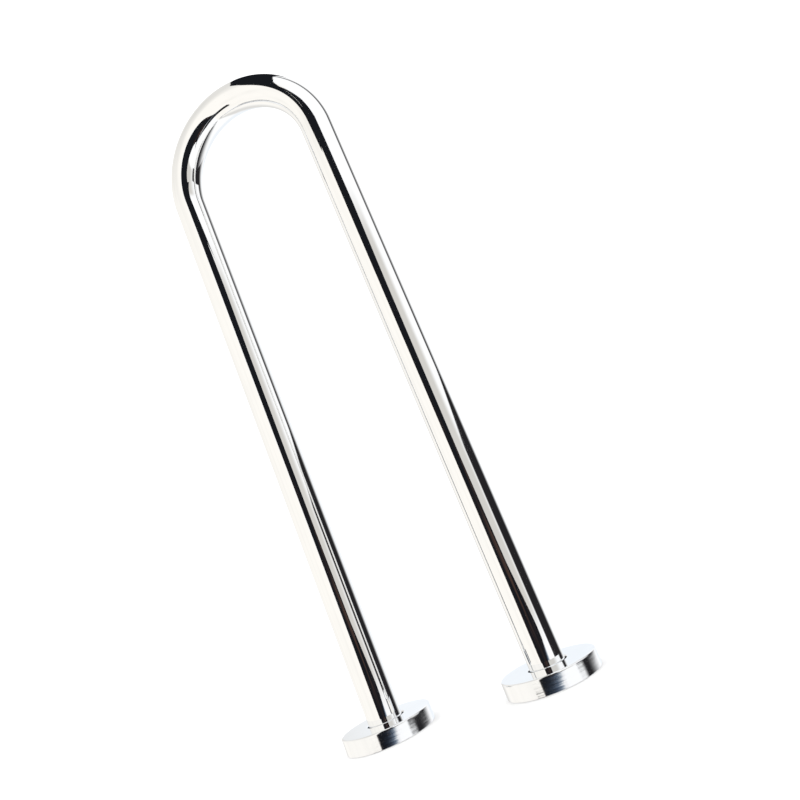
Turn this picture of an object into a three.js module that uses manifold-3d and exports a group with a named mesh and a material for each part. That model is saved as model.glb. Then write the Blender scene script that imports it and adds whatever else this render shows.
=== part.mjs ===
// A pool handrail: one bent stainless tube with a round flange welded to each foot. Screws in wall
// plugs hold each flange down, and a deep cover that slides on the leg hides them.
// Millimetres, +Z up. The origin is the middle of the left flange's underside, and the other leg
// stands along +X.
import * as THREE from "three";
import { mergeVertices } from "three/addons/utils/BufferGeometryUtils.js";
import Module from "manifold-3d";

const wasm = await Module();
wasm.setup();

// Rail
const TUBE_RADIUS = 16;
const TUBE_WALL = 1.5;
const RAIL_HEIGHT = 655; // from the mounting surface to the top of the bend
const LEG_SPACING = 160; // centre to centre, and so twice the radius of the bend

// Flange and its weld
const FLANGE_RADIUS = 39;
const FLANGE_THICKNESS = 4;
const SCREW_CIRCLE_RADIUS = 29;
const SCREWS_PER_FLANGE = 3;
const WELD_LEG = 3.5;
const TUBE_SEAT_DEPTH = 1.5; // the foot of the tube stands in a turned seat in the flange
const VENT_RADIUS = 3; // drains the tube through the floor of the seat
const VENT_OFFSET = 7;

// Cover, a drawn cup whose neck is rolled round the grip ring
const COVER_RADIUS = 42.5;
const COVER_HEIGHT = 15;
const COVER_SHEET = 1;
const COVER_EDGE_RADIUS = 2;
const NECK_RADIUS = 17.4;
const NECK_DEPTH = 7;
const NECK_EDGE_RADIUS = 1.5;
const RING_SECTION_RADIUS = 1.15;

// Countersunk wood screw, 4 x 30
const SCREW_LENGTH = 30;
const SCREW_HEAD_RADIUS = 4;
const SCREW_HEAD_DEPTH = 3;
const SCREW_THREAD_RADIUS = 2;
const SCREW_CORE_RADIUS = 1.35;
const SCREW_SHANK = 8; // from the top of the head to the first thread
const THREAD_PITCH = 2.6;
const SCREW_POINT = 4;
const RECESS_WIDTH = 0.9;
const RECESS_SPAN = 4.2;
const RECESS_DEPTH = 1.8;

// Wall plug, 6 x 25, set a little below the surface so that it can't crack a tile
const PLUG_LENGTH = 25;
const PLUG_RADIUS = 3.1;
const PLUG_COLLAR_RADIUS = 3.7;
const PLUG_COLLAR_HEIGHT = 1;
const PLUG_FLARE_HEIGHT = 2.4;
const PLUG_TIP_RADIUS = 2.6;
const PLUG_TIP_LENGTH = 1.2;
const PLUG_SETBACK = 2.3;
const PLUG_SLOT_WIDTH = 0.9;
const PLUG_SLOT_TOP = 6;
const PLUG_SLOT_END = 21;

const GAP = 0.3; // between pieces that touch on the real rail

// Facets
const TUBE_SIDES = 40;
const TUBE_BORE_SIDES = 24;
const BEND_STEPS = 26;
const ROUND_SIDES = 40;
const RING_SIDES = 32;
const SCREW_SIDES = 12;
const PLUG_SIDES = 16;
const HOLE_SIDES = 16;

const BEND_RADIUS = LEG_SPACING / 2;
const BEND_CENTRE_HEIGHT = RAIL_HEIGHT - TUBE_RADIUS - BEND_RADIUS;
const TUBE_FOOT = FLANGE_THICKNESS - TUBE_SEAT_DEPTH + GAP;

const polished = new THREE.MeshStandardMaterial({ color: 0xd9dcde, roughness: 0.06, metalness: 1 });
const pressed = new THREE.MeshStandardMaterial({ color: 0xd5d9dd, roughness: 0.1, metalness: 1 });
const brushed = new THREE.MeshStandardMaterial({ color: 0xa9abad, roughness: 0.4, metalness: 1 });
const welded = new THREE.MeshStandardMaterial({ color: 0x8f8a84, roughness: 0.5, metalness: 1 });
const rubber = new THREE.MeshStandardMaterial({ color: 0x17181a, roughness: 0.75, metalness: 0 });
const plated = new THREE.MeshStandardMaterial({ color: 0xb9bcc0, roughness: 0.3, metalness: 1 });
const nylon = new THREE.MeshStandardMaterial({ color: 0x7ee39c, roughness: 0.45, metalness: 0 });

// A hairpin in the XZ plane. Its stations are evenly spaced in t: the foot of one leg, the stations
// round the bend, and the foot of the other leg, so that each straight leg is a single step.
class Hairpin extends THREE.Curve {
  static steps = BEND_STEPS + 2;

  angleAt(t) {
    const station = t * Hairpin.steps - 1;
    return Math.PI * (1 - THREE.MathUtils.clamp(station / BEND_STEPS, 0, 1));
  }

  getPoint(t, target = new THREE.Vector3()) {
    const angle = this.angleAt(t);
    const x = BEND_RADIUS * (1 + Math.cos(angle));
    const rise = BEND_RADIUS * Math.sin(angle);
    const station = t * Hairpin.steps;
    const past = Math.max(1 - station, station - 1 - BEND_STEPS, 0);
    const drop = past * (BEND_CENTRE_HEIGHT - TUBE_FOOT);
    return target.set(x, 0, BEND_CENTRE_HEIGHT + rise - drop);
  }

  getTangent(t, target = new THREE.Vector3()) {
    const angle = this.angleAt(t);
    return target.set(Math.sin(angle), 0, -Math.cos(angle));
  }

  getUtoTmapping(u) {
    return u;
  }
}

function solidOf(geometry) {
  geometry.deleteAttribute("normal");
  geometry.deleteAttribute("uv");
  const merged = mergeVertices(geometry, 1e-4);
  return new wasm.Manifold(
    new wasm.Mesh({
      numProp: 3,
      vertProperties: merged.attributes.position.array,
      triVerts: new Uint32Array(merged.index.array),
    }),
  );
}

function geometryOf(solid) {
  const mesh = solid.getMesh();
  const geometry = new THREE.BufferGeometry();
  geometry.setAttribute("position", new THREE.BufferAttribute(mesh.vertProperties, 3));
  geometry.setIndex(new THREE.BufferAttribute(mesh.triVerts, 1));
  geometry.computeVertexNormals();
  return geometry;
}

// Turns a profile of [radius, height] points about the Z axis.
function turned(profile, sides) {
  const points = profile.map(([radius, height]) => new THREE.Vector2(radius, height));
  const geometry = new THREE.LatheGeometry(points, sides);
  return geometry.rotateX(Math.PI / 2);
}

// Points on an arc of a profile, angles in degrees.
function arc(radius, height, size, from, to, steps) {
  return Array.from({ length: steps + 1 }, (_, i) => {
    const angle = THREE.MathUtils.degToRad(from + ((to - from) * i) / steps);
    return [radius + size * Math.cos(angle), height + size * Math.sin(angle)];
  });
}

function circle(radius, sides) {
  return Array.from({ length: sides }, (_, i) => {
    const angle = (2 * Math.PI * i) / sides;
    return new THREE.Vector2(radius * Math.cos(angle), radius * Math.sin(angle));
  });
}

// A round bore along Z that passes right through a plate from low to high.
function bore(radius, low, high, sides) {
  const geometry = new THREE.CylinderGeometry(radius, radius, high - low + 2, sides);
  return geometry.rotateX(Math.PI / 2).translate(0, 0, (low + high) / 2);
}

function atScrew(index) {
  const angle = (2 * Math.PI * index) / SCREWS_PER_FLANGE;
  return new THREE.Vector3(
    SCREW_CIRCLE_RADIUS * Math.cos(angle),
    SCREW_CIRCLE_RADIUS * Math.sin(angle),
    0,
  );
}

function railTube() {
  const wall = new THREE.Shape(circle(TUBE_RADIUS, TUBE_SIDES));
  wall.holes.push(new THREE.Path(circle(TUBE_RADIUS - TUBE_WALL, TUBE_BORE_SIDES)));
  return new THREE.ExtrudeGeometry(wall, {
    steps: Hairpin.steps,
    extrudePath: new Hairpin(),
  });
}

function flange() {
  const chamfer = 0.6;
  const seat = FLANGE_THICKNESS - TUBE_SEAT_DEPTH;
  let plate = solidOf(
    turned(
      [
        [0, 0],
        [FLANGE_RADIUS, 0],
        [FLANGE_RADIUS, FLANGE_THICKNESS - chamfer],
        [FLANGE_RADIUS - chamfer, FLANGE_THICKNESS],
        [TUBE_RADIUS + GAP, FLANGE_THICKNESS],
        [TUBE_RADIUS + GAP, seat],
        [0, seat],
      ],
      ROUND_SIDES,
    ),
  );
  const vent = bore(VENT_RADIUS, 0, seat, HOLE_SIDES).translate(VENT_OFFSET, 0, 0);
  plate = plate.subtract(solidOf(vent));
  const shankHole = SCREW_THREAD_RADIUS + GAP;
  const mouth = SCREW_HEAD_RADIUS + GAP;
  const sinkBottom = FLANGE_THICKNESS - SCREW_HEAD_DEPTH;
  const sink = [
    [0, sinkBottom],
    [shankHole, sinkBottom],
    [mouth, FLANGE_THICKNESS - GAP],
    [mouth, FLANGE_THICKNESS + 1],
    [0, FLANGE_THICKNESS + 1],
  ];
  for (let i = 0; i < SCREWS_PER_FLANGE; i += 1) {
    const { x, y } = atScrew(i);
    const hole = bore(shankHole, 0, FLANGE_THICKNESS, HOLE_SIDES).translate(x, y, 0);
    plate = plate.subtract(solidOf(hole));
    plate = plate.subtract(solidOf(turned(sink, HOLE_SIDES).translate(x, y, 0)));
  }
  return geometryOf(plate);
}

// The fillet weld between the tube and the top of the flange.
function weldBead() {
  const inner = TUBE_RADIUS + GAP;
  const bottom = FLANGE_THICKNESS + GAP;
  return turned(
    [
      [inner, bottom],
      [inner + WELD_LEG, bottom],
      [inner + 0.72 * WELD_LEG, bottom + 0.5 * WELD_LEG],
      [inner + 0.4 * WELD_LEG, bottom + 0.82 * WELD_LEG],
      [inner, bottom + WELD_LEG],
      [inner, bottom],
    ],
    RING_SIDES,
  );
}

const NECK_GROOVE_HEIGHT = COVER_HEIGHT - NECK_EDGE_RADIUS - 2.6;
const RING_CENTRE_RADIUS = TUBE_RADIUS + GAP + RING_SECTION_RADIUS;

function cover() {
  const top = COVER_HEIGHT;
  const rim = GAP;
  const edge = COVER_EDGE_RADIUS;
  const roll = NECK_EDGE_RADIUS;
  const groove = RING_SECTION_RADIUS + 2 * GAP;
  const grooveRadius = RING_CENTRE_RADIUS + RING_SECTION_RADIUS + GAP + 0.05;
  const neckFoot = top - NECK_DEPTH;
  const sheet = COVER_SHEET;
  const outside = [
    [COVER_RADIUS, rim],
    ...arc(COVER_RADIUS - edge, top - edge, edge, 0, 90, 3),
    ...arc(NECK_RADIUS + roll, top - roll, roll, 90, 180, 3),
    [NECK_RADIUS, NECK_GROOVE_HEIGHT + groove],
    [grooveRadius, NECK_GROOVE_HEIGHT + 0.4 * groove],
    [grooveRadius, NECK_GROOVE_HEIGHT - 0.4 * groove],
    [NECK_RADIUS, NECK_GROOVE_HEIGHT - groove],
    [NECK_RADIUS, neckFoot],
  ];
  const inside = [
    [NECK_RADIUS + sheet, neckFoot],
    [NECK_RADIUS + sheet, NECK_GROOVE_HEIGHT - groove],
    [grooveRadius + sheet, NECK_GROOVE_HEIGHT - 0.4 * groove],
    [grooveRadius + sheet, top - sheet],
    [COVER_RADIUS - edge, top - sheet],
    [COVER_RADIUS - sheet, top - edge],
    [COVER_RADIUS - sheet, rim],
    [COVER_RADIUS, rim],
  ];
  return turned([...outside, ...inside], ROUND_SIDES);
}

function gripRing() {
  const section = arc(RING_CENTRE_RADIUS, NECK_GROOVE_HEIGHT, RING_SECTION_RADIUS, 0, 360, 8);
  section[section.length - 1] = section[0];
  return turned(section, RING_SIDES);
}

// The screw hangs down from the middle of its head. Its thread is a row of rings.
function screw() {
  const profile = [[0, 0], [SCREW_HEAD_RADIUS, 0], [SCREW_HEAD_RADIUS, -0.3]];
  profile.push([SCREW_CORE_RADIUS, -SCREW_HEAD_DEPTH], [SCREW_CORE_RADIUS, -SCREW_SHANK]);
  const threaded = SCREW_LENGTH - SCREW_POINT - SCREW_SHANK;
  const turns = Math.floor(threaded / THREAD_PITCH);
  for (let i = 0; i < turns; i += 1) {
    const start = -SCREW_SHANK - i * THREAD_PITCH;
    profile.push([SCREW_THREAD_RADIUS, start - 0.35 * THREAD_PITCH]);
    profile.push([SCREW_CORE_RADIUS, start - THREAD_PITCH]);
  }
  profile.push([0, -SCREW_LENGTH]);
  let body = solidOf(turned(profile.reverse(), SCREW_SIDES));
  for (const turn of [0, Math.PI / 2]) {
    const slot = new THREE.BoxGeometry(RECESS_SPAN, RECESS_WIDTH, 2 * RECESS_DEPTH);
    body = body.subtract(solidOf(slot.rotateZ(turn)));
  }
  return geometryOf(body);
}

// The plug hangs down from its mouth. A cross of slots lets its middle spread.
function wallPlug() {
  const boreRadius = SCREW_THREAD_RADIUS + GAP;
  const profile = [
    [boreRadius, 0],
    [boreRadius, -PLUG_LENGTH],
    [PLUG_TIP_RADIUS, -PLUG_LENGTH],
    [PLUG_RADIUS, -PLUG_LENGTH + PLUG_TIP_LENGTH],
    [PLUG_RADIUS, -PLUG_FLARE_HEIGHT],
    [PLUG_COLLAR_RADIUS, -PLUG_COLLAR_HEIGHT],
    [PLUG_COLLAR_RADIUS, 0],
    [boreRadius, 0],
  ];
  let body = solidOf(turned(profile, PLUG_SIDES));
  const slotLength = PLUG_SLOT_END - PLUG_SLOT_TOP;
  const slotMiddle = -(PLUG_SLOT_TOP + PLUG_SLOT_END) / 2;
  for (const turn of [0, Math.PI / 2]) {
    const slot = new THREE.BoxGeometry(4 * PLUG_RADIUS, PLUG_SLOT_WIDTH, slotLength);
    body = body.subtract(solidOf(slot.rotateZ(turn).translate(0, 0, slotMiddle)));
  }
  return geometryOf(body);
}

function piece(name, geometry, material) {
  const mesh = new THREE.Mesh(geometry, material);
  mesh.name = name;
  return mesh;
}

const flangeShape = flange();
const weldShape = weldBead();
const coverShape = cover();
const ringShape = gripRing();
const screwShape = screw();
const plugShape = wallPlug();

const handrail = new THREE.Group();
handrail.add(piece("rail_tube", railTube(), polished));

// Each foot is turned so that its first screw points away from the other leg.
const feet = [
  { side: "left", x: 0, turn: Math.PI },
  { side: "right", x: LEG_SPACING, turn: 0 },
];
for (const { side, x, turn } of feet) {
  const foot = new THREE.Group();
  foot.position.x = x;
  foot.rotation.z = turn;
  foot.add(piece(`flange_${side}`, flangeShape, brushed));
  foot.add(piece(`weld_bead_${side}`, weldShape, welded));
  foot.add(piece(`cover_${side}`, coverShape, pressed));
  foot.add(piece(`grip_ring_${side}`, ringShape, rubber));
  for (let i = 0; i < SCREWS_PER_FLANGE; i += 1) {
    const fixing = piece(`screw_${side}_${i + 1}`, screwShape, plated);
    fixing.position.copy(atScrew(i)).setZ(FLANGE_THICKNESS);
    const anchor = piece(`wall_plug_${side}_${i + 1}`, plugShape, nylon);
    anchor.position.copy(atScrew(i)).setZ(-PLUG_SETBACK);
    foot.add(fixing, anchor);
  }
  handrail.add(foot);
}

export default handrail;
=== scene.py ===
"""A pool handrail: a mirror-polished hairpin tube that stands on two flanges under deep covers.

Metres, +Z up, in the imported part's frame: the origin is the middle of the left flange's underside
and the other leg stands along +X. Outlines are written in millimetres and scaled by MM.
"""

import math

import bmesh
import bpy
from mathutils import Matrix, Vector


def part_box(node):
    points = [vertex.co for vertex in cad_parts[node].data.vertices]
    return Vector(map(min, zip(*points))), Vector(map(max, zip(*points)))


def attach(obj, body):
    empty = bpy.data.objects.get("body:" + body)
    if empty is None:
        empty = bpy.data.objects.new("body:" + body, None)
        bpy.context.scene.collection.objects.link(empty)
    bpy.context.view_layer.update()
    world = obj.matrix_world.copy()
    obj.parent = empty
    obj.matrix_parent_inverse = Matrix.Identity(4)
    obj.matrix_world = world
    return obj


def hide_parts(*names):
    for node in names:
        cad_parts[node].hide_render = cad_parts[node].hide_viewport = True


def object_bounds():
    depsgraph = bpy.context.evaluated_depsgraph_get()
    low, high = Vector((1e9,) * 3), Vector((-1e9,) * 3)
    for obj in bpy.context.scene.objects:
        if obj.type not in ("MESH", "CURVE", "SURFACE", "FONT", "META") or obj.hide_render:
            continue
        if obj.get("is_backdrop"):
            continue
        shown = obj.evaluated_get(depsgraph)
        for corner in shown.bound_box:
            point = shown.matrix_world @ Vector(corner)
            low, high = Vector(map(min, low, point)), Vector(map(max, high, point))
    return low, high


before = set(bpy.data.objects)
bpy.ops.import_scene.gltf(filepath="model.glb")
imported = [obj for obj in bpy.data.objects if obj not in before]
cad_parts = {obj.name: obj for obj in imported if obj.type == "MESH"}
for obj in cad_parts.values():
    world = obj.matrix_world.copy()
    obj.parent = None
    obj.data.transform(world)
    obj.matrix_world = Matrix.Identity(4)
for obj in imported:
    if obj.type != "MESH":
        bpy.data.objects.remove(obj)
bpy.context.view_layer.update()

MM = 0.001
SIDES = ("left", "right")
SCREWS_PER_FLANGE = 3

# The tube, measured from its CAD node
tube_low, tube_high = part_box("rail_tube")
TUBE_RADIUS = (tube_high.y - tube_low.y) / 2
TUBE_WALL = 1.5 * MM
BEND_RADIUS = (tube_high.x - tube_low.x) / 2 - TUBE_RADIUS
BEND_HEIGHT = tube_high.z - TUBE_RADIUS - BEND_RADIUS
TUBE_FOOT = tube_low.z

# Fineness of the visible meshes
ARC_STEP = math.radians(9)  # the largest turn between two points of a rounded corner
HOLD = 0.25  # mm at most from a rounded corner to the point that keeps the flat beside it flat
TUBE_SIDES = 144
TUBE_BORE_SIDES = 72
TUBE_STEP = 12 * MM
BEND_STEPS = 150
COVER_SIDES = 192
FLANGE_SIDES = 144
RING_SIDES = 128
WELD_SIDES = 288
HOLE_SIDES = 48
PLUG_SIDES = 48
SCREW_SIDES = 48


# ---------------------------------------------------------------- meshes


def rounded(corners):
    """A closed outline of (radius, height) in metres from corners of (radius, height, fillet) in mm.

    Each filleted corner becomes an arc, with one point held close on either side of it so that the
    flats beside it stay flat when the surface is shaded smooth.
    """
    spots = [Vector(corner[:2]) for corner in corners]
    count = len(spots)
    halves = []
    reaches = []
    for i, corner in enumerate(corners):
        back = spots[i - 1] - spots[i]
        ahead = spots[(i + 1) % count] - spots[i]
        half = back.angle(ahead) / 2
        halves.append(half)
        reaches.append(corner[2] / math.tan(half))
    points = []
    for i, (_, _, fillet) in enumerate(corners):
        here = spots[i]
        if not fillet:
            points.append(here)
            continue
        back = spots[i - 1] - here
        ahead = spots[(i + 1) % count] - here
        back_free = back.length - reaches[i] - reaches[i - 1]
        ahead_free = ahead.length - reaches[i] - reaches[(i + 1) % count]
        back.normalize()
        ahead.normalize()
        centre = here + (back + ahead).normalized() * (fillet / math.sin(halves[i]))
        start = here + back * reaches[i] - centre
        turn = math.pi - 2 * halves[i]
        if back.cross(ahead) > 0:
            turn = -turn
        steps = max(2, math.ceil(abs(turn) / ARC_STEP))
        points.append(here + back * (reaches[i] + min(HOLD, 0.4 * back_free)))
        for step in range(steps + 1):
            points.append(centre + Matrix.Rotation(turn * step / steps, 2) @ start)
        points.append(here + ahead * (reaches[i] + min(HOLD, 0.4 * ahead_free)))
    return [(point.x * MM, point.y * MM) for point in points]


def object_of(name, mesh, smooth_angle=30):
    """An object that shows a bmesh, smooth except across edges sharper than the angle."""
    bmesh.ops.remove_doubles(mesh, verts=mesh.verts, dist=1e-7)
    bmesh.ops.recalc_face_normals(mesh, faces=mesh.faces)
    data = bpy.data.meshes.new(name)
    mesh.to_mesh(data)
    mesh.free()
    data.shade_smooth()
    data.set_sharp_from_angle(angle=math.radians(smooth_angle))
    made = bpy.data.objects.new(name, data)
    bpy.context.scene.collection.objects.link(made)
    return made


def lathe(name, outline, sides, smooth_angle=30):
    """Turns a closed outline of (radius, height) round the Z axis."""
    mesh = bmesh.new()
    rings = []
    for side in range(sides):
        angle = 2 * math.pi * side / sides
        c, s = math.cos(angle), math.sin(angle)
        rings.append([mesh.verts.new((r * c, r * s, z)) for r, z in outline])
    for side in range(sides):
        here, after = rings[side], rings[(side + 1) % sides]
        for i in range(len(outline)):
            j = (i + 1) % len(outline)
            if outline[i][0] + outline[j][0] > 0:
                mesh.faces.new((here[i], after[i], after[j], here[j]))
    return object_of(name, mesh, smooth_angle)


def carve(target, cutters):
    """Cuts each cutter out of the target, keeps the result as the target's mesh and drops the cutters."""
    for cutter in cutters:
        cut = target.modifiers.new("cut", "BOOLEAN")
        cut.object = cutter
        cut.solver = "EXACT"
    depsgraph = bpy.context.evaluated_depsgraph_get()
    carved = bpy.data.meshes.new_from_object(target.evaluated_get(depsgraph))
    target.modifiers.clear()
    target.data = carved
    carved.name = target.name
    carved.shade_smooth()
    carved.set_sharp_from_angle(angle=math.radians(30))
    for cutter in cutters:
        bpy.data.objects.remove(cutter)


def hairpin(leg_steps):
    """Points and tangents down the middle of the tube, from the left foot to the right foot."""
    path = []
    for i in range(leg_steps):
        height = TUBE_FOOT + (BEND_HEIGHT - TUBE_FOOT) * i / leg_steps
        path.append((Vector((0, 0, height)), Vector((0, 0, 1))))
    for i in range(BEND_STEPS + 1):
        angle = math.pi * (1 - i / BEND_STEPS)
        x = BEND_RADIUS * (1 + math.cos(angle))
        z = BEND_HEIGHT + BEND_RADIUS * math.sin(angle)
        path.append((Vector((x, 0, z)), Vector((math.sin(angle), 0, -math.cos(angle)))))
    for i in range(leg_steps, 0, -1):
        height = TUBE_FOOT + (BEND_HEIGHT - TUBE_FOOT) * (i - 1) / leg_steps
        path.append((Vector((2 * BEND_RADIUS, 0, height)), Vector((0, 0, -1))))
    return path


def tube():
    """The rail itself: a walled tube swept along the hairpin, with a small chamfer at each foot."""
    path = hairpin(round((BEND_HEIGHT - TUBE_FOOT) / TUBE_STEP))
    chamfer = 0.25 * MM
    mesh = bmesh.new()
    uv = mesh.loops.layers.uv.new("along")

    def loop_at(index, radius, sides, shift=0.0):
        point, tangent = path[index]
        outward = Vector((tangent.z, 0, -tangent.x))
        across = Vector((0, 1, 0))
        middle = point + tangent * shift
        ring = []
        for side in range(sides):
            angle = 2 * math.pi * side / sides
            ring.append(mesh.verts.new(
                middle + radius * (outward * math.cos(angle) + across * math.sin(angle))
            ))
        return ring

    lengths = [0.0]
    for (a, _), (b, _) in zip(path, path[1:]):
        lengths.append(lengths[-1] + (b - a).length)

    def skin(rings, sides, radius, marks):
        for (low, high), (start, end) in zip(zip(rings, rings[1:]), zip(marks, marks[1:])):
            for side in range(sides):
                after = (side + 1) % sides
                face = mesh.faces.new((low[side], low[after], high[after], high[side]))
                left = 2 * math.pi * radius * side / sides
                right = 2 * math.pi * radius * (side + 1) / sides
                corners = ((left, start), (right, start), (right, end), (left, end))
                for loop, corner in zip(face.loops, corners):
                    loop[uv].uv = corner

    last = len(path) - 1
    outer = [loop_at(0, TUBE_RADIUS - chamfer, TUBE_SIDES)]
    outer.append(loop_at(0, TUBE_RADIUS, TUBE_SIDES, chamfer))
    outer += [loop_at(i, TUBE_RADIUS, TUBE_SIDES) for i in range(1, last)]
    outer.append(loop_at(last, TUBE_RADIUS, TUBE_SIDES, -chamfer))
    outer.append(loop_at(last, TUBE_RADIUS - chamfer, TUBE_SIDES))
    marks = [0.0, chamfer] + lengths[1:-1] + [lengths[-1] - chamfer, lengths[-1]]
    skin(outer, TUBE_SIDES, TUBE_RADIUS, marks)
    inner_radius = TUBE_RADIUS - TUBE_WALL
    inner = [loop_at(i, inner_radius, TUBE_BORE_SIDES) for i in range(last + 1)]
    skin(inner, TUBE_BORE_SIDES, inner_radius, lengths)
    for ring, bore in ((outer[0], inner[0]), (outer[-1], inner[-1])):
        edges = []
        for verts in (ring, bore):
            for a, b in zip(verts, verts[1:] + verts[:1]):
                edges.append(mesh.edges.get((a, b)))
        bmesh.ops.bridge_loops(mesh, edges=edges)
    return object_of("rail_tube_polished", mesh)


def cover(side):
    """A drawn cup: a flat top, a crisp rolled edge, and a neck rolled round the grip ring."""
    low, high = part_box(f"cover_{side}")
    radius = (high.x - low.x) / 2 / MM
    top = high.z / MM
    rim = low.z / MM
    sheet = 1.0
    neck = 17.4  # inside radius, 1.4 mm clear of the tube
    groove = neck + 1.55
    groove_top = top - 2.35
    groove_bottom = top - 5.85
    neck_foot = top - 7.0
    corners = [
        (radius, rim, 0.3),
        (radius, top, 1.4),
        (neck, top, 1.2),
        (neck, groove_top, 0.5),
        (groove, groove_top - 1.0, 0.6),
        (groove, groove_bottom + 1.0, 0.6),
        (neck, groove_bottom, 0.5),
        (neck, neck_foot, 0.35),
        (neck + sheet, neck_foot, 0.35),
        (neck + sheet, groove_bottom + 0.3, 0.4),
        (groove + sheet, groove_bottom + 1.4, 0.4),
        (groove + sheet, top - sheet, 0.5),
        (radius - sheet, top - sheet, 0.6),
        (radius - sheet, rim, 0.3),
    ]
    made = lathe(f"cover_{side}_drawn", rounded(corners), COVER_SIDES, 40)
    made.location = Vector(((low.x + high.x) / 2, (low.y + high.y) / 2, 0))
    return made


def grip_ring(side):
    """A moulded O-ring with the fine parting line that its mould leaves inside and outside."""
    low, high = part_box(f"grip_ring_{side}")
    section = (high.z - low.z) / 2
    radius = (high.x - low.x) / 2 - section
    steps = 32
    line = 0.04 * MM
    outline = []
    for step in range(steps):
        angle = 2 * math.pi * step / steps
        size = section + (line if step % (steps // 2) == 0 else 0)
        outline.append((radius + size * math.cos(angle), size * math.sin(angle)))
    made = lathe(f"grip_ring_{side}_moulded", outline, RING_SIDES, 60)
    made.location = (low + high) / 2
    return made


def screw_places(side):
    """Where the screws of one foot stand, from the boxes of their CAD nodes."""
    places = []
    for number in range(1, SCREWS_PER_FLANGE + 1):
        low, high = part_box(f"screw_{side}_{number}")
        places.append(Vector(((low.x + high.x) / 2, (low.y + high.y) / 2, high.z)))
    return places


def flange(side):
    """A turned disc with a seat for the tube, a drain hole and three countersunk screw holes."""
    low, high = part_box(f"flange_{side}")
    middle = Vector(((low.x + high.x) / 2, (low.y + high.y) / 2, 0))
    radius = (high.x - low.x) / 2 / MM
    thick = high.z / MM
    seat_radius = TUBE_RADIUS / MM + 0.3
    seat = TUBE_FOOT / MM - 0.3
    outline = rounded([
        (0, 0, 0),
        (radius, 0, 0.3),
        (radius, thick, 0.6),
        (seat_radius, thick, 0.15),
        (seat_radius, seat, 0),
        (0, seat, 0),
    ])
    made = lathe(f"flange_{side}_turned", outline, FLANGE_SIDES)
    hole, mouth, sink_depth = 2.3, 4.3, 3
    below, above = -1, thick + 1.1
    sink = [
        (0, below, 0), (hole, below, 0), (hole, thick - sink_depth, 0), (mouth, thick - 0.35, 0),
        (mouth, thick - 0.15, 0), (mouth + 1.3, above, 0), (0, above, 0),
    ]
    cutters = []
    for number, place in enumerate(screw_places(side)):
        cutter = lathe(f"sink_{side}_{number}", rounded(sink), HOLE_SIDES)
        cutter.location = (place.x - middle.x, place.y - middle.y, 0)
        cutters.append(cutter)
    vent_radius, vent_offset, vent_top = 3, 7, 5
    drill = [(0, below, 0), (vent_radius, below, 0), (vent_radius, vent_top, 0), (0, vent_top, 0)]
    vent = lathe(f"vent_{side}", rounded(drill), HOLE_SIDES)
    outwards = -1 if side == "left" else 1
    vent.location = (vent_offset * MM * outwards, 0, 0)
    cutters.append(vent)
    carve(made, cutters)
    made.location = middle
    return made


def weld_bead(side):
    """A fillet laid round the tube in overlapping drops."""
    low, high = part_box(f"weld_bead_{side}")
    middle = Vector(((low.x + high.x) / 2, (low.y + high.y) / 2, 0))
    reach = (high.x - low.x) / 2 - TUBE_RADIUS
    rise = high.z - low.z + 0.25 * MM
    bottom = low.z - 0.3 * MM
    drops = 34
    drop_lean = 2.2
    section_steps = 14
    overlap = 0.1 * MM
    root = TUBE_RADIUS - overlap
    mesh = bmesh.new()
    rings = []
    for i in range(WELD_SIDES):
        angle = 2 * math.pi * i / WELD_SIDES
        ring = [mesh.verts.new((root * math.cos(angle), root * math.sin(angle), bottom))]
        for step in range(section_steps + 1):
            share = step / section_steps
            slope = math.pi / 2 * share
            phase = angle * drops - drop_lean * math.sin(slope * 2)
            crest = (0.5 + 0.5 * math.cos(phase)) ** 0.6
            wander = 0.02 * math.sin(3 * angle + 1) + 0.015 * math.sin(7 * angle)
            bulge = 0.86 + 0.1 * crest * math.sin(slope * 2) ** 0.5 + wander
            bulge = min(bulge * (0.9 + 0.1 * abs(math.cos(slope * 2))), 1.0)
            out = reach * bulge * math.cos(slope)
            up = rise * bulge * math.sin(slope)
            radius = root + out + overlap * (share < 1)
            ring.append(mesh.verts.new((radius * math.cos(angle), radius * math.sin(angle), bottom + up)))
        rings.append(ring)
    count = section_steps + 2
    for i, here in enumerate(rings):
        after = rings[(i + 1) % WELD_SIDES]
        for j in range(count):
            k = (j + 1) % count
            mesh.faces.new((here[j], after[j], after[k], here[k]))
    made = object_of(f"weld_bead_{side}_laid", mesh, 50)
    made.location = middle
    return made


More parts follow.
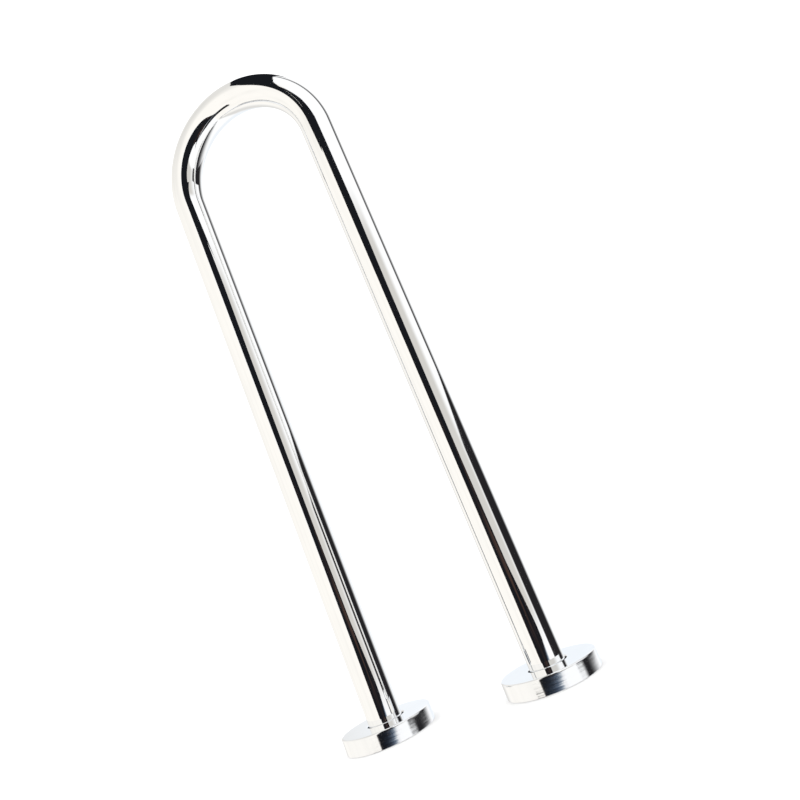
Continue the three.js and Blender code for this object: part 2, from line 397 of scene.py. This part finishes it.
def screw_mesh():
    """A countersunk wood screw, 4 x 30, that hangs from the middle of its head."""
    length, head, head_depth = 30.0, 4.0, 3.0
    crest, core, shank, pitch, point = 2.0, 1.35, 8.0, 2.6, 4.0
    rows_per_turn = 22
    flank = 0.8

    def thread(angle, height):
        depth = -height
        taper = min(1.0, (length - depth) / point)
        root = core * taper
        start = min(1.0, max(0.0, (depth - shank) / pitch))
        end = min(1.0, max(0.0, (length - depth) / (0.6 * point)))
        phase = (height / pitch - angle / (2 * math.pi)) % 1.0
        away = min(phase, 1 - phase) * pitch
        lift = max(0.0, 1 - away / flank)
        return root + (crest - core) * lift * start * end * (0.35 + 0.65 * taper)

    mesh = bmesh.new()
    rings = []

    def ring(radius_at, height):
        verts = []
        for side in range(SCREW_SIDES):
            angle = 2 * math.pi * side / SCREW_SIDES
            radius = radius_at(angle) * MM
            verts.append(mesh.verts.new((radius * math.cos(angle), radius * math.sin(angle), height * MM)))
        rings.append(verts)

    for radius, height in ((head - 0.12, 0.0), (head, -0.12), (head, -0.4)):
        ring(lambda angle, r=radius: r, height)
    neck = core + 0.15
    cone_steps = 6
    for step in range(1, cone_steps + 1):
        share = step / cone_steps
        ring(lambda angle, r=head + (neck - head) * share: r, -0.4 - (head_depth - 0.4) * share)
    ring(lambda angle: core + 0.05, -head_depth - 0.5)
    top_of_thread = shank - pitch * 0.5
    row_count = math.ceil((length - top_of_thread) / pitch * rows_per_turn)
    for row in range(row_count):
        height = -(top_of_thread + (length - 0.05 - top_of_thread) * row / row_count)
        ring(lambda angle, z=height: thread(angle, z), height)
    for upper, lower in zip(rings, rings[1:]):
        for side in range(SCREW_SIDES):
            after = (side + 1) % SCREW_SIDES
            mesh.faces.new((upper[side], upper[after], lower[after], lower[side]))
    mesh.faces.new(rings[0])
    tip = mesh.verts.new((0, 0, -length * MM))
    for side in range(SCREW_SIDES):
        mesh.faces.new((rings[-1][side], rings[-1][(side + 1) % SCREW_SIDES], tip))
    made = object_of("screw_pattern", mesh, 40)
    cutter = recess_cutter()
    carve(made, [cutter])
    data = made.data
    bpy.data.objects.remove(made)
    return data


def recess_cutter():
    """The tapered cross that a driver fits."""
    half_width, half_span, depth, lift = 0.45, 2.1, 1.9, 0.4
    cross = [
        (half_width, half_width), (half_width, half_span), (-half_width, half_span),
        (-half_width, half_width), (-half_span, half_width), (-half_span, -half_width),
        (-half_width, -half_width), (-half_width, -half_span), (half_width, -half_span),
        (half_width, -half_width), (half_span, -half_width), (half_span, half_width),
    ]
    mesh = bmesh.new()
    rings = []
    for height, scale in ((lift, 1.15), (0, 1.0), (-depth, 0.4)):
        rings.append([mesh.verts.new((x * scale * MM, y * scale * MM, height * MM)) for x, y in cross])
    for upper, lower in zip(rings, rings[1:]):
        for i in range(len(cross)):
            j = (i + 1) % len(cross)
            mesh.faces.new((upper[i], upper[j], lower[j], lower[i]))
    mesh.faces.new(rings[0])
    mesh.faces.new(rings[-1])
    return object_of("recess_cutter", mesh)


def plug_mesh():
    """A nylon wall plug, 6 x 25, that hangs from its mouth: flared collar, cross slots, rounded tip."""
    length = 25.0
    bore, tip, body, collar = 2.3, 2.6, 3.1, 3.7
    outline = rounded([
        (bore, 0, 0.15),
        (2.05, -4, 0.5),
        (bore, -9, 0.5),
        (bore, -length, 0.3),
        (tip, -length, 0.25),
        (body, -length + 1.2, 0.6),
        (body, -2.4, 0.6),
        (collar, -1.0, 0.3),
        (collar, 0, 0.25),
    ])
    outline = [(max(r, bore * MM), z) for r, z in outline]  # nothing stands inside the bore
    slot_width, slot_length, slot_middle = 0.9, 15, -13.5
    through = 12  # longer than the plug is wide
    made = lathe("plug_pattern", outline, PLUG_SIDES, 35)
    cutters = []
    for turn in (0, math.pi / 2):
        mesh = bmesh.new()
        bmesh.ops.create_cube(mesh, size=1.0)
        bmesh.ops.scale(mesh, verts=mesh.verts, vec=(through * MM, slot_width * MM, slot_length * MM))
        bmesh.ops.rotate(mesh, verts=mesh.verts, matrix=Matrix.Rotation(turn, 3, "Z"))
        bmesh.ops.translate(mesh, verts=mesh.verts, vec=(0, 0, slot_middle * MM))
        cutters.append(object_of(f"slot_{turn:.0f}", mesh))
    carve(made, cutters)
    data = made.data
    bpy.data.objects.remove(made)
    return data


# ---------------------------------------------------------------- materials


def put(tree, kind, inputs=None, **settings):
    """Adds a node, sets it up and links or fills its inputs."""
    made = tree.nodes.new("ShaderNode" + kind)
    for key, value in settings.items():
        setattr(made, key, value)
    for key, value in (inputs or {}).items():
        socket = made.inputs[key]
        if isinstance(value, bpy.types.NodeSocket):
            tree.links.new(value, socket)
        else:
            socket.default_value = value
    return made


def calc(tree, operation, *values, clamp=False):
    """The result of one Math node."""
    inputs = dict(enumerate(values))
    return put(tree, "Math", inputs, operation=operation, use_clamp=clamp).outputs[0]


def between(tree, value, from_low, from_high, to_low, to_high, smooth=False):
    """The value mapped from one range to another, held at the ends."""
    inputs = {0: value, 1: from_low, 2: from_high, 3: to_low, 4: to_high}
    kind = "SMOOTHSTEP" if smooth else "LINEAR"
    return put(tree, "MapRange", inputs, interpolation_type=kind, clamp=True).outputs[0]


def blend_colours(tree, share, first, second):
    """A colour part way between two others."""
    made = put(tree, "Mix", data_type="RGBA")
    for socket, value in ((made.inputs[0], share), (made.inputs[6], first), (made.inputs[7], second)):
        if isinstance(value, bpy.types.NodeSocket):
            tree.links.new(value, socket)
        else:
            socket.default_value = value
    return made.outputs[2]


def set_ramp(ramp, stops):
    """Gives a colour ramp its stops, each a place from 0 to 1 and a colour."""
    elements = ramp.color_ramp.elements
    elements.remove(elements[0])
    elements[0].position = stops[-1][0]
    elements[0].color = (*stops[-1][1], 1)
    for place, rgb in stops[:-1]:
        elements.new(place).color = (*rgb, 1)


def noise(tree, vector, scale, detail=3.0, roughness=0.5):
    """The value of one Noise texture."""
    inputs = {"Vector": vector, "Scale": scale, "Detail": detail, "Roughness": roughness}
    return put(tree, "TexNoise", inputs).outputs[0]


def stretched(tree, vector, scale):
    """A coordinate scaled by a different amount on each axis."""
    return put(tree, "Mapping", {"Vector": vector, "Scale": scale}).outputs[0]


def finish_material(name, settings):
    """A new material with a Principled surface and its first settings, as (material, tree, shader)."""
    material = bpy.data.materials.new(name)
    material.use_nodes = True
    tree = material.node_tree
    shader = tree.nodes["Principled BSDF"]
    for key, value in settings.items():
        shader.inputs[key].default_value = value
    return material, tree, shader


def link(tree, shader, **sockets):
    """Feeds the colour, roughness and normal of a surface."""
    names = {"colour": "Base Color", "roughness": "Roughness", "normal": "Normal"}
    for key, socket in sockets.items():
        tree.links.new(socket, shader.inputs[names[key]])


def polished_steel():
    """Mirror polish on the tube: faint buffing lines along it, soft handling marks, a slight wave."""
    material, tree, shader = finish_material("polished_tube", {"Metallic": 1.0})
    along = put(tree, "UVMap", uv_map="along").outputs[0]
    place = put(tree, "TexCoord").outputs["Object"]
    buffing = noise(tree, stretched(tree, along, (2600, 30, 1)), 1.0, 2.0)
    marks = noise(tree, place, 38.0, 4.0)
    wave = noise(tree, stretched(tree, place, (1, 1, 0.55)), 26.0, 1.0)
    haze = between(tree, marks, 0.42, 0.75, 0.02, 0.055)
    rough = calc(tree, "MULTIPLY_ADD", buffing, 0.03, haze)
    colour = blend_colours(tree, marks, (0.90, 0.91, 0.92, 1), (0.955, 0.96, 0.965, 1))
    height = calc(tree, "MULTIPLY_ADD", buffing, 0.0006, calc(tree, "MULTIPLY", wave, 0.05))
    bump = put(tree, "Bump", {"Height": height, "Strength": 1.0, "Distance": MM})
    link(tree, shader, colour=colour, roughness=rough, normal=bump.outputs[0])
    return material


def pressed_cover_steel():
    """Polish on a drawn cup: fine lines round its wall, a cleaner flat top and soft random marks."""
    material, tree, shader = finish_material("polished_cover", {"Metallic": 1.0})
    place = put(tree, "TexCoord").outputs["Object"]
    lines = noise(tree, stretched(tree, place, (14, 14, 2400)), 1.0, 3.0)
    marks = noise(tree, place, 46.0, 4.0)
    normal = put(tree, "TexCoord").outputs["Normal"]
    upright = put(tree, "SeparateXYZ", {0: normal}).outputs[2]
    wall = between(tree, calc(tree, "ABSOLUTE", upright), 0.3, 0.8, 1.0, 0.0)
    haze = between(tree, marks, 0.4, 0.75, 0.025, 0.07)
    rough = calc(tree, "MULTIPLY_ADD", calc(tree, "MULTIPLY", lines, wall), 0.1, haze)
    colour = blend_colours(tree, marks, (0.89, 0.905, 0.925, 1), (0.94, 0.95, 0.965, 1))
    draw = noise(tree, stretched(tree, place, (7, 7, 380)), 1.0, 2.0)
    height = calc(tree, "MULTIPLY_ADD", draw, 0.034, calc(tree, "MULTIPLY", lines, 0.003))
    height = calc(tree, "MULTIPLY", height, wall)
    bump = put(tree, "Bump", {"Height": height, "Strength": 1.0, "Distance": MM})
    link(tree, shader, colour=colour, roughness=rough, normal=bump.outputs[0])
    return material


def turned_steel():
    """A lathe-faced, brushed disc: rings of fine grooves and water marks."""
    material, tree, shader = finish_material("brushed_flange", {"Metallic": 1.0})
    place = put(tree, "TexCoord").outputs["Object"]
    split = put(tree, "SeparateXYZ", {0: place})
    flat = put(tree, "CombineXYZ", {0: split.outputs[0], 1: split.outputs[1], 2: 0.0}).outputs[0]
    radius = put(tree, "VectorMath", {0: flat}, operation="LENGTH").outputs["Value"]
    turn = calc(tree, "ARCTAN2", split.outputs[1], split.outputs[0])
    spiral = put(tree, "CombineXYZ", {0: calc(tree, "MULTIPLY", radius, 5200.0), 1: turn, 2: 0.0})
    grooves = noise(tree, spiral.outputs[0], 1.0, 3.0)
    stains = noise(tree, place, 60.0, 5.0, 0.6)
    rough = between(tree, stains, 0.35, 0.7, 0.26, 0.42)
    rough = calc(tree, "MULTIPLY_ADD", grooves, 0.12, rough)
    colour = blend_colours(tree, stains, (0.46, 0.455, 0.45, 1), (0.66, 0.665, 0.67, 1))
    height = calc(tree, "MULTIPLY", grooves, 0.012)
    bump = put(tree, "Bump", {"Height": height, "Strength": 0.8, "Distance": MM})
    link(tree, shader, colour=colour, roughness=rough, normal=bump.outputs[0])
    return material


def weld_steel():
    """Weld metal with the straw and blue tints that heat leaves, and a fine uneven roughness."""
    material, tree, shader = finish_material("weld", {"Metallic": 1.0})
    place = put(tree, "TexCoord").outputs["Object"]
    grain = noise(tree, place, 900.0, 4.0, 0.6)
    tint = noise(tree, place, 120.0, 3.0)
    ramp = put(tree, "ValToRGB", {0: tint})
    grey, straw, blue, bare = (0.42, 0.40, 0.38), (0.62, 0.50, 0.30), (0.34, 0.36, 0.52), (0.55, 0.54, 0.53)
    set_ramp(ramp, ((0.30, grey), (0.48, straw), (0.60, blue), (0.72, bare)))
    rough = between(tree, grain, 0.3, 0.7, 0.24, 0.5)
    bump = put(tree, "Bump", {"Height": calc(tree, "MULTIPLY", grain, 0.03), "Distance": MM})
    link(tree, shader, colour=ramp.outputs[0], roughness=rough, normal=bump.outputs[0])
    return material


def plated_steel():
    """Zinc-bright screw steel, dulled in random patches."""
    material, tree, shader = finish_material("screw_steel", {"Metallic": 1.0})
    place = put(tree, "TexCoord").outputs["Object"]
    grain = noise(tree, place, 1500.0, 3.0)
    patches = noise(tree, place, 260.0, 3.0)
    rough = between(tree, patches, 0.35, 0.7, 0.2, 0.38)
    colour = blend_colours(tree, patches, (0.58, 0.59, 0.60, 1), (0.78, 0.79, 0.81, 1))
    bump = put(tree, "Bump", {"Height": calc(tree, "MULTIPLY", grain, 0.008), "Distance": MM})
    link(tree, shader, colour=colour, roughness=rough, normal=bump.outputs[0])
    return material


def ring_rubber():
    """Black moulded rubber with a dry bloom on it."""
    material, tree, shader = finish_material("ring_rubber", {"Metallic": 0.0, "IOR": 1.5})
    place = put(tree, "TexCoord").outputs["Object"]
    bloom = noise(tree, place, 240.0, 4.0, 0.6)
    grain = noise(tree, place, 2600.0, 2.0)
    colour = blend_colours(tree, bloom, (0.010, 0.010, 0.011, 1), (0.032, 0.032, 0.034, 1))
    rough = between(tree, bloom, 0.3, 0.7, 0.5, 0.75)
    bump = put(tree, "Bump", {"Height": calc(tree, "MULTIPLY", grain, 0.02), "Distance": MM})
    link(tree, shader, colour=colour, roughness=rough, normal=bump.outputs[0])
    return material


def plug_nylon():
    """Light green moulded nylon: slightly see-through, uneven in shade, with a fine mould grain."""
    inputs = {"Metallic": 0.0, "IOR": 1.53, "Subsurface Weight": 0.25, "Subsurface Scale": 1.5 * MM}
    material, tree, shader = finish_material("plug_nylon", inputs)
    place = put(tree, "TexCoord").outputs["Object"]
    batch = put(tree, "ObjectInfo").outputs["Random"]
    flow = noise(tree, stretched(tree, place, (1, 1, 0.3)), 320.0, 3.0)
    grain = noise(tree, place, 2200.0, 2.0)
    shade = blend_colours(tree, flow, (0.20, 0.58, 0.27, 1), (0.31, 0.72, 0.39, 1))
    colour = blend_colours(tree, between(tree, batch, 0.7, 1.0, 0.0, 0.7), shade, (0.30, 0.68, 0.16, 1))
    rough = between(tree, grain, 0.3, 0.7, 0.34, 0.5)
    bump = put(tree, "Bump", {"Height": calc(tree, "MULTIPLY", grain, 0.015), "Distance": MM})
    link(tree, shader, colour=colour, roughness=rough, normal=bump.outputs[0])
    return material


# ---------------------------------------------------------------- the object


def dress(piece, body, node, material):
    """Finishes a piece and puts it on its body in place of its CAD node."""
    piece.data.materials.clear()
    piece.data.materials.append(material)
    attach(piece, body)
    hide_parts(node)


steel = polished_steel()
cover_steel = pressed_cover_steel()
flange_steel = turned_steel()
weld_metal = weld_steel()
screw_steel = plated_steel()
rubber = ring_rubber()
nylon = plug_nylon()

dress(tube(), "rail", "rail_tube", steel)
screw_shape = screw_mesh()
plug_shape = plug_mesh()
for side in SIDES:
    dress(flange(side), "rail", f"flange_{side}", flange_steel)
    dress(weld_bead(side), "rail", f"weld_bead_{side}", weld_metal)
    dress(cover(side), f"{side}_cover", f"cover_{side}", cover_steel)
    dress(grip_ring(side), f"{side}_ring", f"grip_ring_{side}", rubber)
    # Mirror rays pass through the deck, so they are kept from the screws and plugs below it.
    for number, place in enumerate(screw_places(side), 1):
        node = f"screw_{side}_{number}"
        fixing = bpy.data.objects.new(f"{node}_threaded", screw_shape)
        bpy.context.scene.collection.objects.link(fixing)
        fixing.location = place
        fixing.rotation_euler.z = 0.7 * number + (0.4 if side == "left" else 0)
        dress(fixing, "rail", node, screw_steel)
        fixing.visible_glossy = False
        node = f"wall_plug_{side}_{number}"
        low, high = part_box(node)
        anchor = bpy.data.objects.new(f"{node}_moulded", plug_shape)
        bpy.context.scene.collection.objects.link(anchor)
        anchor.location = (place.x, place.y, high.z)
        dress(anchor, "rail", node, nylon)
        anchor.visible_glossy = False


# ---------------------------------------------------------------- the studio

CAMERA_WHITE = (1.3, 1.3, 1.3, 1)
WHITE_PANEL = (1.08, 1.08, 1.08, 1)
CREAM_PANEL = (1.07, 1.035, 0.975, 1)
SHADED_PANEL = (0.74, 0.725, 0.69, 1)
GREY_PANEL = (0.70, 0.68, 0.64, 1)
BLUE_PANEL = (0.94, 0.98, 1.02, 1)
GAP_COLOUR = (0.019, 0.018, 0.02, 1)
SHEET_BLACK = (0.010, 0.011, 0.014, 1)
SHEET_BROWN = (0.062, 0.038, 0.031, 1)


def window(tree, value, low, high, soft_low, soft_high):
    """1 between two limits and 0 outside them, each edge with a softness of its own."""
    rise = between(tree, calc(tree, "SUBTRACT", value, low), -soft_low, soft_low, 0, 1, True)
    fall = between(tree, calc(tree, "SUBTRACT", value, high), -soft_high, soft_high, 1, 0, True)
    return calc(tree, "MULTIPLY", rise, fall)


def cream_panel(tree, towards, bearing, height):
    """The colour of the left panel: cream cloth with soft folds, in shade towards its top."""
    shade_above = between(tree, height, 22, 62, 0.0, 0.75, True)
    shade_across = between(tree, bearing, -40, 0, 1.0, 0.35, True)
    shade = calc(tree, "MULTIPLY", shade_above, shade_across)
    folds = noise(tree, stretched(tree, towards, (1.0, 1.0, 0.6)), 2.0, 2.0)
    shade = calc(tree, "ADD", shade, between(tree, folds, 0.42, 0.7, 0.0, 0.22, True))
    return blend_colours(tree, shade, CREAM_PANEL, SHADED_PANEL)


def gap_share(tree, bearing, height):
    """How much of the dark gap at the right shows. Its near edge leans, and it steps at one height."""
    lean = between(tree, height, 6.2, 12.5, 76, 122)
    past_edge = window(tree, calc(tree, "SUBTRACT", bearing, lean), 0, 200, 3, 5)
    upper = calc(tree, "MULTIPLY", past_edge, window(tree, bearing, 60, 146, 3, 16))
    lower = window(tree, bearing, 93, 133, 6, 26)
    step_low, step_high = -11.6, -11.4
    upper = calc(tree, "MULTIPLY", upper, between(tree, height, step_low, step_high, 0.0, 1.0))
    lower = calc(tree, "MULTIPLY", lower, between(tree, height, step_low, step_high, 1.0, 0.0))
    share = calc(tree, "ADD", upper, lower)
    return calc(tree, "MULTIPLY", share, between(tree, height, 12, 24, 1.0, 0.93))


def studio_world():
    """White all round for the camera; mirror surfaces see tinted panels and a dark gap at the right.

    Directions are given as a bearing, 0 in front of the rail (-Y) and growing towards +X, and a
    height above the horizon, both in degrees.
    """
    world = bpy.data.worlds.new("studio")
    bpy.context.scene.world = world
    world.use_nodes = True
    world.cycles.sampling_method = "NONE"
    tree = world.node_tree
    tree.nodes.clear()
    towards = put(tree, "TexCoord").outputs["Generated"]
    x, y, z = put(tree, "SeparateXYZ", {0: towards}).outputs
    degrees = 180 / math.pi
    bearing = calc(tree, "ARCTAN2", x, calc(tree, "MULTIPLY", y, -1.0))
    bearing = calc(tree, "MULTIPLY", bearing, degrees)
    height = calc(tree, "MULTIPLY", calc(tree, "ARCSINE", z), degrees)

    left = window(tree, bearing, -128, -2, 14, 6)
    colour = blend_colours(tree, left, WHITE_PANEL, cream_panel(tree, towards, bearing, height))
    right = window(tree, bearing, 20, 72, 4, 16)
    right = calc(tree, "MULTIPLY", right, window(tree, height, -8, 26, 2, 3))
    colour = blend_colours(tree, right, colour, GREY_PANEL)
    far_left = calc(tree, "MULTIPLY", window(tree, bearing, -152, -128, 5, 12), 0.8)
    colour = blend_colours(tree, far_left, colour, GREY_PANEL)
    behind = calc(tree, "SUBTRACT", 1.0, window(tree, bearing, -150, 165, 10, 10))
    behind = calc(tree, "MULTIPLY", behind, window(tree, height, -30, 22, 8, 8))
    colour = blend_colours(tree, behind, colour, BLUE_PANEL)
    colour = blend_colours(tree, gap_share(tree, bearing, height), colour, GAP_COLOUR)

    mirror = put(tree, "LightPath").outputs["Is Glossy Ray"]
    seen = blend_colours(tree, mirror, CAMERA_WHITE, colour)
    background = put(tree, "Background", {"Color": seen, "Strength": 1.0})
    output = put(tree, "OutputWorld")
    tree.links.new(background.outputs[0], output.inputs[0])


def dark_sheet_material(name):
    """Nearly black, brown beside the lower half of the rail, with a slanting bright edge below the deck."""
    material = bpy.data.materials.new(name)
    material.use_nodes = True
    tree = material.node_tree
    tree.nodes.clear()
    place = put(tree, "TexCoord").outputs["Object"]
    x, _, z = put(tree, "SeparateXYZ", {0: place}).outputs
    clutter = noise(tree, stretched(tree, place, (4.0, 4.0, 2.0)), 2.2, 3.0, 0.6)
    brown = between(tree, clutter, 0.50, 0.66, 0.0, 1.0, True)
    brown = calc(tree, "MULTIPLY", brown, between(tree, z, 0.33, 0.45, 1.0, 0.0))
    brown = calc(tree, "MULTIPLY", brown, between(tree, z, -0.1, -0.02, 0.25, 1.0))
    colour = blend_colours(tree, brown, SHEET_BLACK, SHEET_BROWN)
    slant = calc(tree, "MULTIPLY_ADD", z, -5.0, x)
    bright_edge = put(tree, "ValToRGB", {0: between(tree, slant, 0.82, 1.78, 0, 1)})
    set_ramp(bright_edge, (
        (0.0, (0.005, 0.005, 0.007)), (0.30, (0.016, 0.022, 0.034)), (0.62, (0.08, 0.11, 0.16)),
        (0.85, (0.30, 0.36, 0.44)), (0.98, (1.0, 1.0, 1.0)),
    ))
    below = between(tree, z, -0.153, -0.15, 1.0, 0.0)
    below = calc(tree, "MULTIPLY", below, between(tree, z, -0.38, -0.26, 0.0, 1.0))
    colour = blend_colours(tree, below, colour, bright_edge.outputs[0])
    glow = put(tree, "Emission", {"Color": colour})
    output = put(tree, "OutputMaterial")
    tree.links.new(glow.outputs[0], output.inputs[0])
    return material


def dark_sheet(name, sections):
    """A dark sheet between two edges that only mirror surfaces see.

    Each section is (left x, right x, y, z) in millimetres, from below the rail to above it.
    """
    mesh = bmesh.new()
    rows = []
    for left, right, y, z in sections:
        rows.append([mesh.verts.new((x * MM, y * MM, z * MM)) for x in (left, right)])
    for low_row, high_row in zip(rows, rows[1:]):
        mesh.faces.new((low_row[0], low_row[1], high_row[1], high_row[0]))
    made = object_of(name, mesh)
    made.data.materials.append(dark_sheet_material(name))
    made.visible_camera = False
    made.visible_diffuse = False
    made.visible_transmission = False
    made.visible_shadow = False
    made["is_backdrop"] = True


def dark_gap():
    """The dark opening between the light panels, in front of the rail and over its top."""
    dark_sheet("front_gap", [
        (-700, 500, -900, -760), (-600, 760, -950, -500), (-420, 900, -900, -235),
        (-68, 1020, -845, -200), (-60, 1050, -800, -120), (0, 560, -700, 60),
        (25, 500, -700, 265), (25, 535, -700, 475), (25, 575, -700, 683),
        (20, 680, -700, 892), (0, 600, -700, 1040), (-20, 300, -700, 1250),
    ])
    dark_sheet("top_gap", [
        (90, 260, -200, 640), (80, 165, -170, 660), (72, 125, -150, 672), (75, 122, -130, 690),
        (75, 140, -100, 730), (62, 160, -77, 780), (62, 170, -30, 820), (50, 170, 150, 830),
    ])


def floor():
    """The pale deck that the rail stands on."""
    mesh = bmesh.new()
    half_width = 6.0
    bmesh.ops.create_grid(mesh, x_segments=8, y_segments=8, size=half_width)
    made = object_of("deck", mesh)
    material, tree, shader = finish_material("deck", {"Roughness": 1.0, "Specular IOR Level": 0.0})
    place = put(tree, "TexCoord").outputs["Object"]
    grain = noise(tree, place, 40.0, 4.0)
    colour = blend_colours(tree, grain, (0.94, 0.94, 0.94, 1), (0.96, 0.96, 0.96, 1))
    link(tree, shader, colour=colour)
    made.data.materials.append(material)
    made.visible_glossy = False  # the panels below the horizon reach the polish through it
    made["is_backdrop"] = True


def soft_light():
    """One broad lamp from the front left that models the matt pieces."""
    data = bpy.data.lights.new("softbox", "AREA")
    data.shape = "DISK"
    data.size = 1.2
    data.energy = 4.0
    lamp = bpy.data.objects.new("softbox", data)
    lamp.location = (-0.9, -1.4, 1.6)
    aim = Vector((BEND_RADIUS, 0, 0.2)) - lamp.location
    lamp.rotation_euler = aim.to_track_quat("-Z", "Y").to_euler()
    lamp.visible_glossy = False
    bpy.context.scene.collection.objects.link(lamp)


def camera():
    """The viewpoint: low in front, a little to the right, with the horizon rolled."""
    bearing = math.radians(17.7)
    height = math.radians(-11.4)
    roll = math.radians(-22.7)
    distance = 0.675
    target = Vector((0.130, 0, 0.274))
    back = Vector((
        math.sin(bearing) * math.cos(height), -math.cos(bearing) * math.cos(height), math.sin(height)
    ))
    forward = -back
    level = forward.cross(Vector((0, 0, 1))).normalized()
    upright = level.cross(forward)
    across = math.cos(roll) * level + math.sin(roll) * upright
    up = -math.sin(roll) * level + math.cos(roll) * upright
    data = bpy.data.cameras.new("viewpoint")
    data.sensor_width = 36.0
    data.lens = 32.9
    data.clip_start = 0.01
    data.clip_end = 50.0
    made = bpy.data.objects.new("viewpoint", data)
    made.matrix_world = Matrix((across, up, back)).transposed().to_4x4()
    made.location = target + back * distance
    bpy.context.scene.collection.objects.link(made)
    bpy.context.scene.camera = made


studio_world()
dark_gap()
floor()
soft_light()
camera()
bpy.context.scene.view_settings.view_transform = "Standard"

low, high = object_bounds()
